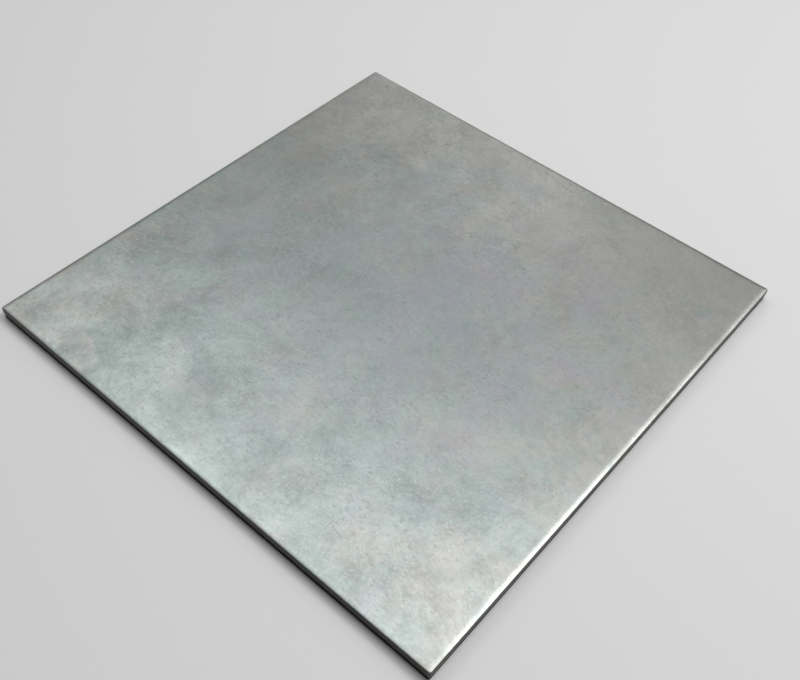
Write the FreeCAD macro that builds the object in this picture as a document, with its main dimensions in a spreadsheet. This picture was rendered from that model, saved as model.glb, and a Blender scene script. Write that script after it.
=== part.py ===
import FreeCAD, Part
import math
import os

import Sketcher

# Square titanium sheet, cut from rolled stock on a guillotine shear. One solid, lying flat.
#
# Frame: origin at the middle of the underside, +X along the sheet's length, +Y along its
# width, +Z up through its thickness. Millimetres.
#
# Every cut edge has the section that a shear leaves, from the top face down:
#   rollover  the top corner is drawn down into a soft curve before the blade bites
#   burnish   a short upright band, rubbed smooth by the blade
#   fracture  the rest breaks away and leans in under the sheet

NODE = "titanium_sheet"

SIZES = [
    # the finished sheet
    ("sheet_length", 150.0),
    ("sheet_width", 150.0),
    ("sheet_thickness", 4.0),
    # the sheared edge
    ("rollover_width", 1.6),
    ("rollover_depth", 0.45),
    ("rollover_nose_radius", 0.3),
    ("fracture_height", 1.7),
    ("fracture_inset", 0.15),
    # what the shear takes off each side of the blank, and how far the cut runs past it
    ("trim_margin", 3.0),
    ("cut_clearance", 1.0),
]

ORIGIN_POINT = (-1, 1)
HORIZONTAL_AXIS = -1
START = 1
END = 2
BOX_TOLERANCE = 1e-6
UP = FreeCAD.Vector(0, 0, 1)


def make_sheet_of_sizes(doc):
    """The spreadsheet that holds the driving dimensions, one row each, with an alias."""
    cells = doc.addObject("Spreadsheet::Sheet", "Sizes")
    for row, (alias, value) in enumerate(SIZES, start=1):
        cells.set(f"A{row}", alias)
        cells.set(f"B{row}", str(value))
        cells.setAlias(f"B{row}", alias)
    doc.recompute()
    return cells


def origin_plane(body, role):
    for feature in body.Origin.OriginFeatures:
        if feature.Role == role:
            return feature
    raise ValueError(f"no origin plane {role}")


def new_sketch(body, name, role):
    sketch = body.newObject("Sketcher::SketchObject", name)
    sketch.AttachmentSupport = [(origin_plane(body, role), "")]
    sketch.MapMode = "FlatFace"
    return sketch


def bind(sketch, name, kind, elements, expression):
    """Adds a dimension to a sketch, names it and ties it to the spreadsheet."""
    value = float(sketch.evalExpression(expression))
    index = sketch.addConstraint(Sketcher.Constraint(kind, *elements, value))
    sketch.renameConstraint(index, name)
    sketch.setExpression(f"Constraints.{name}", expression)


def add_loop(sketch, points):
    """Straight lines from each point to the next and back to the first."""
    ends = points[1:] + points[:1]
    lines = []
    for start, end in zip(points, ends):
        lines.append(sketch.addGeometry(Part.LineSegment(start, end), False))
    for line, after in zip(lines, lines[1:] + lines[:1]):
        sketch.addConstraint(Sketcher.Constraint("Coincident", line, END, after, START))
    return lines


def draw_blank(body, cells):
    """The blank's outline, centred, with the trim margin still on every side."""
    sketch = new_sketch(body, "BlankOutline", "XY_Plane")
    half_x = cells.sheet_length / 2 + cells.trim_margin
    half_y = cells.sheet_width / 2 + cells.trim_margin
    front, right, back, left = add_loop(
        sketch,
        [
            FreeCAD.Vector(-half_x, -half_y, 0),
            FreeCAD.Vector(half_x, -half_y, 0),
            FreeCAD.Vector(half_x, half_y, 0),
            FreeCAD.Vector(-half_x, half_y, 0),
        ],
    )
    for line in (front, back):
        sketch.addConstraint(Sketcher.Constraint("Horizontal", line))
    for line in (right, left):
        sketch.addConstraint(Sketcher.Constraint("Vertical", line))
    corners = (front, START, back, START)
    sketch.addConstraint(Sketcher.Constraint("Symmetric", *corners, *ORIGIN_POINT))
    bind(
        sketch,
        "blank_length",
        "DistanceX",
        (front, START, front, END),
        "Sizes.sheet_length + 2 * Sizes.trim_margin",
    )
    bind(
        sketch,
        "blank_width",
        "DistanceY",
        (right, START, right, END),
        "Sizes.sheet_width + 2 * Sizes.trim_margin",
    )
    return sketch


def rollover_arcs(edge, cells):
    """The rollover's two tangent arcs for an edge at this distance from the middle.

    The nose turns off the upright band and the shoulder carries on into the top face.
    """
    width = cells.rollover_width
    depth = cells.rollover_depth
    nose = cells.rollover_nose_radius
    top = cells.sheet_thickness
    shoulder = ((width - nose) ** 2 + depth**2 - nose**2) / (2 * (depth - nose))
    nose_centre = FreeCAD.Vector(edge - nose, top - depth, 0)
    shoulder_centre = FreeCAD.Vector(edge - width, top - shoulder, 0)
    across = nose_centre - shoulder_centre
    turn = math.atan2(across.y, across.x)
    nose_circle = Part.Circle(nose_centre, UP, nose)
    shoulder_circle = Part.Circle(shoulder_centre, UP, shoulder)
    return (
        Part.ArcOfCircle(nose_circle, 0, turn),
        Part.ArcOfCircle(shoulder_circle, turn, math.pi / 2),
    )


def draw_offcut(body, name, role, span, cells):
    """The section of what the shear takes away along one edge, to the sheared profile.

    span is the alias of the sheet's size across this edge.
    """
    sketch = new_sketch(body, name, role)
    edge = getattr(cells, span) / 2
    top = cells.sheet_thickness
    foot = edge - cells.fracture_inset
    brow = edge - cells.rollover_width
    outside = edge + cells.trim_margin + cells.cut_clearance
    above = top + cells.cut_clearance
    below = -cells.cut_clearance
    nose_arc, shoulder_arc = rollover_arcs(edge, cells)

    def line(start, end):
        ends = (FreeCAD.Vector(*start, 0), FreeCAD.Vector(*end, 0))
        return sketch.addGeometry(Part.LineSegment(*ends), False)

    under = line((foot, below), (foot, 0))
    fracture = line((foot, 0), (edge, cells.fracture_height))
    burnish = line((edge, cells.fracture_height), (edge, top - cells.rollover_depth))
    nose = sketch.addGeometry(nose_arc, False)
    shoulder = sketch.addGeometry(shoulder_arc, False)
    rise = line((brow, top), (brow, above))
    lid = line((brow, above), (outside, above))
    far_side = line((outside, above), (outside, below))
    base = line((outside, below), (foot, below))

    joints = [
        ("Coincident", under, fracture),
        ("Coincident", fracture, burnish),
        ("Tangent", burnish, nose),
        ("Tangent", nose, shoulder),
        ("Perpendicular", shoulder, rise),
        ("Coincident", rise, lid),
        ("Coincident", lid, far_side),
        ("Coincident", far_side, base),
        ("Coincident", base, under),
    ]
    for kind, first, second in joints:
        sketch.addConstraint(Sketcher.Constraint(kind, first, END, second, START))
    for upright in (under, burnish, rise, far_side):
        sketch.addConstraint(Sketcher.Constraint("Vertical", upright))
    for level in (lid, base):
        sketch.addConstraint(Sketcher.Constraint("Horizontal", level))
    sketch.addConstraint(
        Sketcher.Constraint("PointOnObject", under, END, HORIZONTAL_AXIS)
    )

    dimensions = [
        ("edge_place", "DistanceX", (*ORIGIN_POINT, burnish, START), f"Sizes.{span} / 2"),
        ("inset", "DistanceX", (fracture, START, fracture, END), "Sizes.fracture_inset"),
        ("fracture", "DistanceY", (fracture, START, fracture, END), "Sizes.fracture_height"),
        ("drop", "DistanceY", (burnish, END, shoulder, END), "Sizes.rollover_depth"),
        ("run", "DistanceX", (shoulder, END, burnish, END), "Sizes.rollover_width"),
        ("top_face", "DistanceY", (*ORIGIN_POINT, shoulder, END), "Sizes.sheet_thickness"),
        ("over", "DistanceY", (rise, START, rise, END), "Sizes.cut_clearance"),
        ("beneath", "DistanceY", (under, START, under, END), "Sizes.cut_clearance"),
        (
            "reach",
            "DistanceX",
            (burnish, START, lid, END),
            "Sizes.trim_margin + Sizes.cut_clearance",
        ),
    ]
    for title, kind, elements, expression in dimensions:
        bind(sketch, title, kind, elements, expression)
    bind(sketch, "nose", "Radius", (nose,), "Sizes.rollover_nose_radius")
    return sketch


def shear_pair(body, name, sketch, mirror_role):
    """Cuts one edge right along the sheet, then the opposite edge as its mirror image."""
    doc = body.Document
    before = body.Shape.Volume
    cut = body.newObject("PartDesign::Pocket", name)
    cut.Profile = sketch
    cut.Type = "ThroughAll"
    cut.SideType = "Symmetric"
    doc.recompute()
    after_one = cut.Shape.Volume
    opposite = body.newObject("PartDesign::Mirrored", f"{name}Opposite")
    opposite.Originals = [cut]
    opposite.MirrorPlane = (origin_plane(body, mirror_role), [""])
    body.Tip = opposite
    doc.recompute()
    if not before > after_one > body.Shape.Volume:
        raise ValueError(f"{name} took nothing off the sheet")


def build_sheet(doc, cells):
    """The blank, padded to thickness, then sheared across its length and its width."""
    body = doc.addObject("PartDesign::Body", "Sheet")
    body.Label = NODE
    blank = body.newObject("PartDesign::Pad", "Blank")
    blank.Profile = draw_blank(body, cells)
    blank.setExpression("Length", "Sizes.sheet_thickness")
    body.Tip = blank
    doc.recompute()
    ends = draw_offcut(body, "EndOffcut", "XZ_Plane", "sheet_length", cells)
    shear_pair(body, "EndShear", ends, "YZ_Plane")
    sides = draw_offcut(body, "SideOffcut", "YZ_Plane", "sheet_width", cells)
    shear_pair(body, "SideShear", sides, "XZ_Plane")
    return body


def check_document(doc):
    for item in doc.Objects:
        if {"Invalid", "Error"} & set(item.State):
            raise ValueError(f"{item.Name} failed: {item.State}")
        if item.TypeId == "Sketcher::SketchObject" and not item.FullyConstrained:
            raise ValueError(f"{item.Name} is not fully constrained")


def check_shape(shape, cells):
    if shape.isNull() or not shape.isValid() or len(shape.Solids) != 1:
        raise ValueError("the sheet is not one valid solid")
    box = shape.BoundBox
    found = (box.XLength, box.YLength, box.ZLength)
    wanted = (cells.sheet_length, cells.sheet_width, cells.sheet_thickness)
    for have, want in zip(found, wanted):
        if abs(have - want) > BOX_TOLERANCE:
            raise ValueError(f"the sheet measures {found}, not {wanted}")


def main():
    doc = FreeCAD.newDocument("TitaniumSheet")
    cells = make_sheet_of_sizes(doc)
    body = build_sheet(doc, cells)
    doc.recompute()
    check_document(doc)
    check_shape(body.Shape, cells)
    os.makedirs("parts", exist_ok=True)
    body.Shape.exportStep(f"parts/{body.Label}.step")
    print(body.Label, "volume mm3", round(body.Shape.Volume, 3))


main()
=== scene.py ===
import math

import bpy
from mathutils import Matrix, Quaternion, Vector


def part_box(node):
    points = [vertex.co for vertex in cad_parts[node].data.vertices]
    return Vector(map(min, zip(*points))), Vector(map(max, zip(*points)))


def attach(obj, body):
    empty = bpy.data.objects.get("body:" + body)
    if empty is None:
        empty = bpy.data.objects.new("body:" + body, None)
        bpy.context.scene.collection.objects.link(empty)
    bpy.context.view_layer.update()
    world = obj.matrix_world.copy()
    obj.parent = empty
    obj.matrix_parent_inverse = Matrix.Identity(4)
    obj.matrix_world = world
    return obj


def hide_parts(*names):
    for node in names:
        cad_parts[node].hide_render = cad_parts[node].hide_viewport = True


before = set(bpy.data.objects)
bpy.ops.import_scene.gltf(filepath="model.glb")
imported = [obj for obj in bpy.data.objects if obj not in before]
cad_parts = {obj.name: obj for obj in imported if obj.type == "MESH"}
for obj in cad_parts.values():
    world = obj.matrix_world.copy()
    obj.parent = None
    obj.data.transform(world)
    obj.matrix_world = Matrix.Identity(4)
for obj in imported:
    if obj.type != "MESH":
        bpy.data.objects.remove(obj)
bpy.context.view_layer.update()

# A square titanium sheet, rolled, pickled and cut out on a guillotine shear, lying flat.
# The sheet is one piece: a flat pickled face, and on every edge the soft rollover, the
# upright burnished band and the broken fracture band that a shear leaves.
# Lengths are in metres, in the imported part's own frame, unless a comment says otherwise.

MM = 0.001
NODE = "titanium_sheet"
LOW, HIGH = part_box(NODE)
HALF_X = (HIGH[0] - LOW[0]) / 2
HALF_Y = (HIGH[1] - LOW[1]) / 2
TOP = HIGH[2]

# The sheared edge's section, as the part has it.
ROLLOVER_WIDTH = 1.6 * MM
ROLLOVER_DEPTH = 0.45 * MM
NOSE_RADIUS = 0.3 * MM
FRACTURE_HEIGHT = 1.7 * MM
FRACTURE_INSET = 0.15 * MM

# How finely the mesh follows it.
FACE_CELLS = 180
SHOULDER_STEPS = 6
NOSE_STEPS = 4
BURNISH_STEPS = 4
FRACTURE_STEPS = 7
CORNER_EASE = 0.45 * MM
CORNER_STEPS = 3
TOUCHING = 0.001 * MM
SMOOTH_BELOW = math.radians(35)

# How far the rolling wave takes to grow in from the face's rim, and the wandering of the
# break line takes to die away above and below it.
WAVE_FADE = 8 * MM
BREAK_FADE = 1.2 * MM

# A facet is on a side, not on a face, when its normal rises less than this.
SIDE_RISE = 0.7

# Material slots after the face's.
BURNISH_SLOT = 1
FRACTURE_SLOT = 2

# The pickled face's greys.
TEAL_DARK = "889290"
TEAL_PALE = "B9C3C0"
WARM_DARK = "91918D"
WARM_PALE = "C3C2BF"
VIOLET_CAST = "A3A2AE"
ROLLING_MARK = "858A88"
PALE_FLECK = "C8CCCB"

# The sheared edge's darks, painted shade: the cut titanium's grey drawn near black on
# every edge, for the shade on edges that face away from the lights. The smear and smut
# are dirt patches in these same darks.
BURNISH_SHADED_DARK = "211F1D"
BURNISH_SHADED_PALE = "43413D"
BURNISH_SMEAR_AND_SHADE = "1B1A18"
FRACTURE_SHADED_DARK = "181715"
FRACTURE_SHADED_PALE = "3A3834"
FRACTURE_SMUT_AND_SHADE = "12110F"

# Where the camera stands and looks, in millimetres, and how it is held.
CAMERA_PLACE = Vector((116.8, -145.1, 205.4)) * MM
CAMERA_AIM = Vector((10.87, -10.82, 4.0)) * MM
CAMERA_ROLL = math.radians(3.61)
CAMERA_LENS = 44.75
CAMERA_SENSOR = 36
CAMERA_NEAREST = 0.01

FLOOR_SIZE = 6.0
FLOOR_GREY = "C8C8C8"
FLOOR_ROUGHNESS = 0.9

# The soft lights: bearing from +X and height in degrees, and power in watts.
SOFTBOX_SIZE = 0.36
SOFTBOX_DISTANCE = 0.95
SOFTBOXES = {
    "overhead": (0, 88, 2.75),
    "near_overhead": (120, 74, 0.6),
    "high_right": (45, 58, 5.1),
    "high_left": (170, 56, 1.35),
    "middle_right": (45, 38, 0.95),
    "middle_left": (180, 38, 0.3),
    "middle_back": (120, 33, 0.42),
    "low_back": (135, 14, 0.3),
}
STUDIO_WHITE = (1.0, 1.0, 1.0, 1.0)
STUDIO_GLOW = 0.08


# ---------------------------------------------------------------- materials


def srgb(code):
    """Linear colour from an sRGB hex value such as 8F9492."""
    linear = []
    for at in (0, 2, 4):
        value = int(code[at : at + 2], 16) / 255
        if value <= 0.04045:
            linear.append(value / 12.92)
        else:
            linear.append(((value + 0.055) / 1.055) ** 2.4)
    return (*linear, 1.0)


def per_mm(size):
    """A noise scale whose marks are about this many millimetres across."""
    return 1 / (size * MM)


def in_mm(*steps):
    """A place on the sheet, given in millimetres."""
    return [step * MM for step in steps]


def add(tree, kind, inputs=None, **settings):
    """Adds a node. An input is a value, another node's first output, or any output."""
    node = tree.nodes.new(kind)
    for name, value in settings.items():
        setattr(node, name, value)
    for socket, value in (inputs or {}).items():
        if isinstance(value, bpy.types.Node):
            value = value.outputs[0]
        if isinstance(value, bpy.types.NodeSocket):
            tree.links.new(value, node.inputs[socket])
        else:
            node.inputs[socket].default_value = value
    return node


def new_material(name):
    """An empty node material, with its output and the object coordinates."""
    material = bpy.data.materials.new(name)
    material.use_nodes = True
    tree = material.node_tree
    tree.nodes.clear()
    output = add(tree, "ShaderNodeOutputMaterial")
    place = add(tree, "ShaderNodeTexCoord").outputs["Object"]
    return material, tree, output, place


def lay_metal(tree, output, colour, roughness, height, strength, depth):
    """Titanium of this colour and roughness, over a fine relief depth millimetres deep."""
    fine_relief = add(
        tree,
        "ShaderNodeBump",
        {"Strength": strength, "Distance": depth * MM, "Height": height},
    )
    shader = add(
        tree,
        "ShaderNodeBsdfPrincipled",
        {
            "Base Color": colour,
            "Metallic": 1.0,
            "Roughness": roughness,
            "Normal": fine_relief,
        },
    )
    tree.links.new(shader.outputs[0], output.inputs[0])


def spread(tree, place, middle, inner, outer, at_middle, beyond):
    """One value within inner millimetres of a spot, changing to another at outer."""
    away = add(
        tree,
        "ShaderNodeVectorMath",
        {0: place, 1: in_mm(*middle)},
        operation="DISTANCE",
    )
    return add(
        tree,
        "ShaderNodeMapRange",
        {
            "Value": away.outputs["Value"],
            "From Min": inner * MM,
            "From Max": outer * MM,
            "To Min": at_middle,
            "To Max": beyond,
        },
    )


def etch_clouds(tree, place):
    """How long the bath bit: clouds from 24 mm down to single grains."""
    shifted = add(
        tree, "ShaderNodeMapping", {"Vector": place, "Location": in_mm(31, 12, 0)}
    )
    return add(
        tree,
        "ShaderNodeTexNoise",
        {
            "Vector": shifted,
            "Scale": per_mm(24),
            "Detail": 7.0,
            "Roughness": 0.85,
            "Distortion": 0.2,
        },
    )


def etch_tone(tree, place, clouds):
    """From dark to pale by the clouds, and paler within 15 mm of a spot near the middle of
    the +Y edge, fading out by 80 mm.
    """
    paler_spot = spread(tree, place, (10, 70, 0), 15, 80, at_middle=0.12, beyond=0.0)
    lifted = add(tree, "ShaderNodeMath", {0: clouds, 1: paler_spot}, operation="ADD")
    return add(
        tree,
        "ShaderNodeMapRange",
        {"Value": lifted, "From Min": 0.35, "From Max": 0.77},
    )


def tint_drift(tree, place, shift, size, roughness, distortion, lean):
    """Drifts of a tint about size millimetres across, which lean by where they are."""
    shifted = add(
        tree, "ShaderNodeMapping", {"Vector": place, "Location": in_mm(*shift)}
    )
    drift = add(
        tree,
        "ShaderNodeTexNoise",
        {
            "Vector": shifted,
            "Scale": per_mm(size),
            "Detail": 6.0,
            "Roughness": roughness,
            "Distortion": distortion,
        },
    )
    return add(tree, "ShaderNodeMath", {0: drift, 1: lean}, operation="ADD")


def etched_greys(tree, place, tone):
    """Teal grey that drifts into a warm grey, more of it toward the far rim."""
    rim = spread(tree, place, (-10, -35, 0), 40, 140, at_middle=-0.09, beyond=0.19)
    drift = tint_drift(tree, place, (5, -60, 0), 14, 0.8, 0.2, rim)
    warmth = add(
        tree,
        "ShaderNodeMapRange",
        {"Value": drift, "From Min": 0.40, "From Max": 0.60},
    )
    teal = add(
        tree,
        "ShaderNodeMix",
        {0: tone, 6: srgb(TEAL_DARK), 7: srgb(TEAL_PALE)},
        data_type="RGBA",
    )
    warm = add(
        tree,
        "ShaderNodeMix",
        {0: tone, 6: srgb(WARM_DARK), 7: srgb(WARM_PALE)},
        data_type="RGBA",
    )
    greys = add(
        tree,
        "ShaderNodeMix",
        {0: warmth, 6: teal.outputs[2], 7: warm.outputs[2]},
        data_type="RGBA",
    )
    return greys.outputs[2]


def violet_cast(tree, place, greys):
    """A faint violet tint in drifts, most of it near the middle of the sheet."""
    held_in = spread(tree, place, (6, 2, 0), 10, 75, at_middle=0.05, beyond=-0.15)
    drift = tint_drift(tree, place, (70, 8, 0), 13, 0.78, 0.0, held_in)
    violet = add(
        tree,
        "ShaderNodeMapRange",
        {"Value": drift, "From Min": 0.42, "From Max": 0.66, "To Max": 0.7},
    )
    tinted = add(
        tree,
        "ShaderNodeMix",
        {0: violet, 6: greys, 7: srgb(VIOLET_CAST)},
        data_type="RGBA",
    )
    return tinted.outputs[2]


def bath_patches(tree, place):
    """Patches about 12 mm across where the marks and flecks gather."""
    shifted = add(
        tree, "ShaderNodeMapping", {"Vector": place, "Location": in_mm(-20, 44, 0)}
    )
    return add(
        tree,
        "ShaderNodeTexNoise",
        {"Vector": shifted, "Scale": per_mm(12), "Detail": 4.0, "Roughness": 0.6},
    )


def rolling_marks(tree, place):
    """Short marks along the rolling direction, 48 degrees across the sheet."""
    along = add(
        tree,
        "ShaderNodeMapping",
        {"Vector": place, "Rotation": (0, 0, math.radians(48)), "Scale": (0.5, 1, 1)},
    )
    return add(
        tree,
        "ShaderNodeTexNoise",
        {"Vector": along, "Scale": per_mm(0.6), "Detail": 3.0, "Roughness": 0.6},
    )


def etch_grains(tree, place):
    """The grain that the acid laid open."""
    shifted = add(
        tree, "ShaderNodeMapping", {"Vector": place, "Location": in_mm(3, 9, 0)}
    )
    return add(
        tree,
        "ShaderNodeTexNoise",
        {"Vector": shifted, "Scale": per_mm(0.7), "Detail": 2.0, "Roughness": 0.6},
    )


def gather(tree, grain, low, high, patches, sparse, dense):
    """Sharpens a grain into specks, sparse between the patches and dense within them."""
    specks = add(
        tree,
        "ShaderNodeMapRange",
        {"Value": grain, "From Min": low, "From Max": high},
    )
    gathering = add(
        tree,
        "ShaderNodeMapRange",
        {
            "Value": patches,
            "From Min": 0.38,
            "From Max": 0.60,
            "To Min": sparse,
            "To Max": dense,
        },
    )
    return add(tree, "ShaderNodeMath", {0: specks, 1: gathering}, operation="MULTIPLY")


def speckle(tree, specks, ground, grey):
    """Lays specks of one grey over the ground."""
    speckled = add(
        tree, "ShaderNodeMix", {0: specks, 6: ground, 7: srgb(grey)}, data_type="RGBA"
    )
    return speckled.outputs[2]


def pickled_face():
    """Pickled titanium: a matte acid-etched grey, cloudy where the bath bit unevenly.

    The greys drift between teal, warm and violet, under short dark rolling marks and
    sharp pale flecks. Real etch grain is under 0.1 mm across: it is drawn at 0.6 to
    0.7 mm, as coarse as it needs to be to show.
    """
    material, tree, output, place = new_material("pickled_titanium_face")
    clouds = etch_clouds(tree, place)
    tone = etch_tone(tree, place, clouds)
    ground = violet_cast(tree, place, etched_greys(tree, place, tone))
    patches = bath_patches(tree, place)
    marks = gather(tree, rolling_marks(tree, place), 0.55, 0.67, patches, 0.2, 0.6)
    marked = speckle(tree, marks, ground, ROLLING_MARK)
    grains = etch_grains(tree, place)
    flecks = gather(tree, grains, 0.58, 0.70, patches, 0.08, 0.36)
    colour = speckle(tree, flecks, marked, PALE_FLECK)
    roughness = add(
        tree,
        "ShaderNodeMapRange",
        {
            "Value": clouds,
            "From Min": 0.38,
            "From Max": 0.62,
            "To Min": 0.49,
            "To Max": 0.42,
        },
    )
    height = add(tree, "ShaderNodeMath", {0: clouds, 1: grains}, operation="ADD")
    lay_metal(tree, output, colour, roughness, height, strength=0.2, depth=0.03)
    return material


def two_darks(tree, grain, low, high, dark, pale):
    """A grain drawn between two darks of the cut metal, both near black as painted shade.
    """
    share = add(
        tree,
        "ShaderNodeMapRange",
        {"Value": grain, "From Min": low, "From Max": high},
    )
    drawn = add(
        tree,
        "ShaderNodeMix",
        {0: share, 6: srgb(dark), 7: srgb(pale)},
        data_type="RGBA",
    )
    return drawn.outputs[2]


def soil_and_shade(tree, dirt, low, high, strongest, metal, dark):
    """Dirt of one dark over the cut metal, up to a strongest share; the dark is near black
    as painted shade.
    """
    share = add(
        tree,
        "ShaderNodeMapRange",
        {"Value": dirt, "From Min": low, "From Max": high, "To Max": strongest},
    )
    soiled = add(
        tree, "ShaderNodeMix", {0: share, 6: metal, 7: srgb(dark)}, data_type="RGBA"
    )
    return soiled.outputs[2]


def burnished_band():
    """Burnished shear band: smooth titanium with a dull gleam, scored up and down, its
    grey drawn near black on every edge as painted shade.

    The scores are drawn 0.3 mm wide, coarser than real ones, so that they show.
    """
    material, tree, output, place = new_material("burnished_titanium_edge")
    upright = add(tree, "ShaderNodeMapping", {"Vector": place, "Scale": (1, 1, 0.06)})
    score = add(
        tree,
        "ShaderNodeTexNoise",
        {"Vector": upright, "Scale": per_mm(0.3), "Detail": 3.0, "Roughness": 0.6},
    )
    smear = add(
        tree,
        "ShaderNodeTexNoise",
        {"Vector": upright, "Scale": per_mm(2.2), "Detail": 2.0, "Roughness": 0.5},
    )
    scored = two_darks(tree, score, 0.35, 0.65, BURNISH_SHADED_DARK, BURNISH_SHADED_PALE)
    colour = soil_and_shade(tree, smear, 0.45, 0.7, 0.6, scored, BURNISH_SMEAR_AND_SHADE)
    roughness = add(
        tree,
        "ShaderNodeMapRange",
        {
            "Value": score,
            "From Min": 0.3,
            "From Max": 0.7,
            "To Min": 0.28,
            "To Max": 0.42,
        },
    )
    lay_metal(tree, output, colour, roughness, score, strength=0.35, depth=0.04)
    return material


def fracture_band():
    """Fractured shear band: torn, grainy titanium drawn near black as painted shade, with
    darker smut in patches drawn up the band.

    Its grain is drawn at 0.5 mm, coarser than the real one, so that it shows.
    """
    material, tree, output, place = new_material("fractured_titanium_edge")
    grains = add(
        tree,
        "ShaderNodeTexNoise",
        {"Vector": place, "Scale": per_mm(0.5), "Detail": 4.0, "Roughness": 0.7},
    )
    drawn_up = add(tree, "ShaderNodeMapping", {"Vector": place, "Scale": (1, 1, 0.35)})
    tears = add(
        tree,
        "ShaderNodeTexNoise",
        {"Vector": drawn_up, "Scale": per_mm(1.1), "Detail": 3.0, "Roughness": 0.6},
    )
    torn = two_darks(tree, grains, 0.38, 0.66, FRACTURE_SHADED_DARK, FRACTURE_SHADED_PALE)
    colour = soil_and_shade(tree, tears, 0.5, 0.72, 0.7, torn, FRACTURE_SMUT_AND_SHADE)
    roughness = add(
        tree,
        "ShaderNodeMapRange",
        {
            "Value": grains,
            "From Min": 0.3,
            "From Max": 0.7,
            "To Min": 0.7,
            "To Max": 0.5,
        },
    )
    height = add(tree, "ShaderNodeMath", {0: grains, 1: tears}, operation="ADD")
    lay_metal(tree, output, colour, roughness, height, strength=0.6, depth=0.12)
    return material


def plain_floor():
    """Matte pale grey studio floor."""
    material, tree, output, _ = new_material("pale_studio_floor")
    shader = add(
        tree,
        "ShaderNodeBsdfPrincipled",
        {"Base Color": srgb(FLOOR_GREY), "Roughness": FLOOR_ROUGHNESS},
    )
    tree.links.new(shader.outputs[0], output.inputs[0])
    return material


# -------------------------------------------------------------------- sheet


def edge_section():
    """Steps down a sheared edge: how far in from the edge, and how high."""
    reach = ROLLOVER_WIDTH - NOSE_RADIUS
    fall = ROLLOVER_DEPTH - NOSE_RADIUS
    shoulder_radius = (reach**2 + ROLLOVER_DEPTH**2 - NOSE_RADIUS**2) / (2 * fall)
    nose_height = TOP - ROLLOVER_DEPTH
    shoulder_height = TOP - shoulder_radius
    turn = math.atan2(nose_height - shoulder_height, reach)
    steps = []
    for step in range(1, SHOULDER_STEPS + 1):
        angle = math.pi / 2 + (turn - math.pi / 2) * step / SHOULDER_STEPS
        inset = ROLLOVER_WIDTH - shoulder_radius * math.cos(angle)
        steps.append((inset, shoulder_height + shoulder_radius * math.sin(angle)))
    for step in range(1, NOSE_STEPS + 1):
        angle = turn * (1 - step / NOSE_STEPS)
        inset = NOSE_RADIUS - NOSE_RADIUS * math.cos(angle)
        steps.append((inset, nose_height + NOSE_RADIUS * math.sin(angle)))
    for step in range(1, BURNISH_STEPS + 1):
        share = step / BURNISH_STEPS
        steps.append((0.0, nose_height + (FRACTURE_HEIGHT - nose_height) * share))
    for step in range(1, FRACTURE_STEPS + 1):
        share = step / FRACTURE_STEPS
        steps.append((FRACTURE_INSET * share, FRACTURE_HEIGHT * (1 - share)))
    return steps


def draw_out_edges():
    """Extrudes the face's rim down the sheared section, then closes the underside."""
    bpy.ops.mesh.select_all(action="SELECT")
    bpy.ops.mesh.region_to_loop()
    was_inset, was_height = ROLLOVER_WIDTH, TOP
    for inset, height in edge_section():
        wider = (HALF_X - inset) / (HALF_X - was_inset)
        longer = (HALF_Y - inset) / (HALF_Y - was_inset)
        bpy.ops.mesh.extrude_region_move()
        bpy.ops.transform.resize(value=(wider, longer, 1), center_override=(0, 0, 0))
        bpy.ops.transform.translate(value=(0, 0, height - was_height))
        was_inset, was_height = inset, height
    bpy.ops.mesh.edge_face_add()


def select_corner_edges(ob):
    """Selects the upright edges at the sheet's four corners."""
    mesh = ob.data

    def on_corner(vertex):
        gap_x = HALF_X - abs(vertex.co.x)
        gap_y = HALF_Y - abs(vertex.co.y)
        return abs(gap_x - gap_y) < TOUCHING and gap_x < ROLLOVER_WIDTH / 2

    for vertex in mesh.vertices:
        vertex.select = on_corner(vertex)
    for edge in mesh.edges:
        edge.select = all(mesh.vertices[end].select for end in edge.vertices)
    for face in mesh.polygons:
        face.select = False


def ease_corners(ob):
    """Rounds the four corners a little, as handling does."""
    bpy.ops.object.mode_set(mode="OBJECT")
    select_corner_edges(ob)
    bpy.context.tool_settings.mesh_select_mode = (False, True, False)
    bpy.ops.object.mode_set(mode="EDIT")
    bpy.ops.mesh.bevel(offset=CORNER_EASE, segments=CORNER_STEPS)


def close_up():
    """Merges doubles and turns every face outwards."""
    bpy.ops.mesh.select_all(action="SELECT")
    bpy.ops.mesh.remove_doubles(threshold=TOUCHING)
    bpy.ops.mesh.normals_make_consistent(inside=False)
    bpy.ops.object.mode_set(mode="OBJECT")


def weigh(ob, name, weight_at):
    """A vertex group whose weights follow a rule on each vertex's place."""
    group = ob.vertex_groups.new(name=name)
    for vertex in ob.data.vertices:
        weight = weight_at(vertex.co)
        if weight > 0:
            group.add([vertex.index], weight, "REPLACE")
    return name


def from_edge(co):
    """How far a point lies in from the nearest edge of the sheet."""
    return min(HALF_X - abs(co.x), HALF_Y - abs(co.y))


def relief(ob, name, weight_at, size, depth, strength, middle, direction="Z"):
    """Pushes part of the surface by clouds and applies it.

    The clouds are about size millimetres across and move it up to strength millimetres.
    """
    texture = bpy.data.textures.new(name, "CLOUDS")
    texture.noise_scale = size * MM
    texture.noise_depth = depth
    displace = ob.modifiers.new(name, "DISPLACE")
    displace.texture = texture
    displace.texture_coords = "LOCAL"
    displace.vertex_group = weigh(ob, name, weight_at)
    displace.direction = direction
    displace.strength = strength * MM
    displace.mid_level = middle
    bpy.ops.object.modifier_apply(modifier=name)


def flat_face(co):
    """Full in the middle of the face, and none within a rollover of its rim."""
    if co.z < TOP - TOUCHING:
        return 0.0
    return min(1.0, max(0.0, (from_edge(co) - ROLLOVER_WIDTH) / WAVE_FADE))


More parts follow.
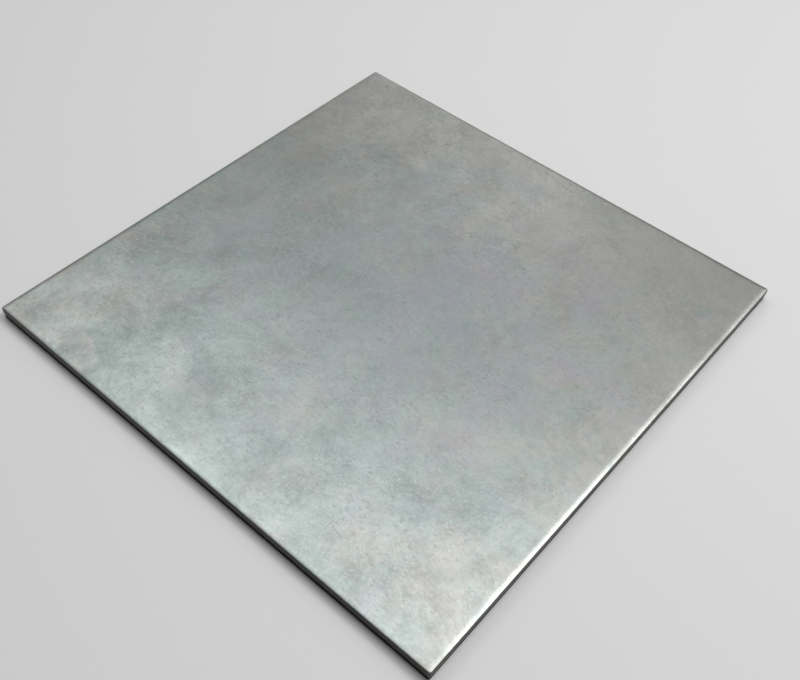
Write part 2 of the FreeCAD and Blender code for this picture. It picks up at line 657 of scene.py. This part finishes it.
def rolled_rim(co):
    """Grows from the top of the rollover to its foot, and fades down the burnish."""
    if co.z > TOP - TOUCHING or co.z < FRACTURE_HEIGHT + TOUCHING:
        return 0.0
    if co.z > TOP - ROLLOVER_DEPTH:
        return (TOP - co.z) / ROLLOVER_DEPTH
    band = TOP - ROLLOVER_DEPTH - FRACTURE_HEIGHT
    return (co.z - FRACTURE_HEIGHT) / band


def break_line(co):
    """Full where the burnish ends and the fracture starts, fading either way."""
    return max(0.0, 1 - abs(co.z - FRACTURE_HEIGHT) / BREAK_FADE)


def torn_band(co):
    """The fracture below the break line, but not its foot on the floor."""
    if co.z > FRACTURE_HEIGHT - TOUCHING or co.z < TOUCHING:
        return 0.0
    return 1.0


def put_slots(ob):
    """Gives each band of the surface its own finish, by height."""
    for material in (pickled_face(), burnished_band(), fracture_band()):
        ob.data.materials.append(material)
    burnish_top = TOP - ROLLOVER_DEPTH + NOSE_RADIUS / 2
    for face in ob.data.polygons:
        on_side = abs(face.normal.z) < SIDE_RISE
        if on_side and face.center.z < FRACTURE_HEIGHT:
            face.material_index = FRACTURE_SLOT
        elif on_side and face.center.z < burnish_top:
            face.material_index = BURNISH_SLOT


def roughen(ob):
    """What rolling and shearing leave: a wavy face, an uneven rim and a torn fracture."""
    relief(ob, "rolling_wave", flat_face, size=30, depth=1, strength=0.05, middle=1.0)
    relief(ob, "uneven_rollover", rolled_rim, size=7, depth=2, strength=0.08, middle=1.0)
    relief(ob, "wandering_break", break_line, size=5, depth=3, strength=0.7, middle=0.5)
    relief(
        ob,
        "torn_grain",
        torn_band,
        size=0.9,
        depth=3,
        strength=0.15,
        middle=1.0,
        direction="NORMAL",
    )
    ob.vertex_groups.clear()


def sheared_sheet():
    """The whole sheet: its face laid as a grid, its edges drawn out, eased and torn."""
    bpy.ops.object.select_all(action="DESELECT")
    bpy.ops.mesh.primitive_grid_add(
        x_subdivisions=FACE_CELLS, y_subdivisions=FACE_CELLS, size=2
    )
    ob = bpy.context.object
    ob.name = "sheared_sheet"
    bpy.ops.object.mode_set(mode="EDIT")
    half_face = (HALF_X - ROLLOVER_WIDTH, HALF_Y - ROLLOVER_WIDTH, 1)
    bpy.ops.transform.resize(value=half_face, center_override=(0, 0, 0))
    bpy.ops.transform.translate(value=(0, 0, TOP))
    draw_out_edges()
    ease_corners(ob)
    close_up()
    put_slots(ob)
    roughen(ob)
    bpy.ops.object.shade_smooth_by_angle(angle=SMOOTH_BELOW)
    return ob


# -------------------------------------------------------------------- stage


def lay_floor():
    bpy.ops.mesh.primitive_plane_add(size=FLOOR_SIZE, location=(0, 0, LOW[2]))
    floor = bpy.context.object
    floor.name = "floor"
    floor.data.materials.append(plain_floor())
    return floor


def hang_softbox(name, bearing, height, power):
    """A square soft light that faces the sheet."""
    light = bpy.data.lights.new(name, "AREA")
    light.shape = "SQUARE"
    light.size = SOFTBOX_SIZE
    light.energy = power
    holder = bpy.data.objects.new(name, light)
    bpy.context.collection.objects.link(holder)
    turn = math.radians(bearing)
    lift = math.radians(height)
    level = math.cos(lift)
    way = Vector((level * math.cos(turn), level * math.sin(turn), math.sin(lift)))
    holder.location = way * SOFTBOX_DISTANCE
    holder.rotation_euler = way.to_track_quat("Z", "Y").to_euler()


def light_studio():
    """Soft light from high on the right, overhead and behind, and none from the front."""
    for name, (bearing, height, power) in SOFTBOXES.items():
        hang_softbox(name, bearing, height, power)
    world = bpy.data.worlds.new("studio")
    world.use_nodes = True
    background = world.node_tree.nodes["Background"]
    background.inputs["Color"].default_value = STUDIO_WHITE
    background.inputs["Strength"].default_value = STUDIO_GLOW
    bpy.context.scene.world = world


def set_camera():
    """The camera in front of the sheet and above it, looking down past its near corner."""
    camera = bpy.data.cameras.new("camera")
    camera.lens = CAMERA_LENS
    camera.sensor_width = CAMERA_SENSOR
    camera.sensor_fit = "HORIZONTAL"
    camera.clip_start = CAMERA_NEAREST
    holder = bpy.data.objects.new("camera", camera)
    bpy.context.collection.objects.link(holder)
    holder.location = CAMERA_PLACE
    level = (CAMERA_AIM - CAMERA_PLACE).to_track_quat("-Z", "Y")
    turned = level @ Quaternion((0, 0, 1), CAMERA_ROLL)
    holder.rotation_euler = turned.to_euler()
    bpy.context.scene.camera = holder


set_camera()
sheet = sheared_sheet()
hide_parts(NODE)
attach(sheet, "root")
lay_floor()
light_studio()
bpy.context.scene.view_settings.view_transform = "Standard"
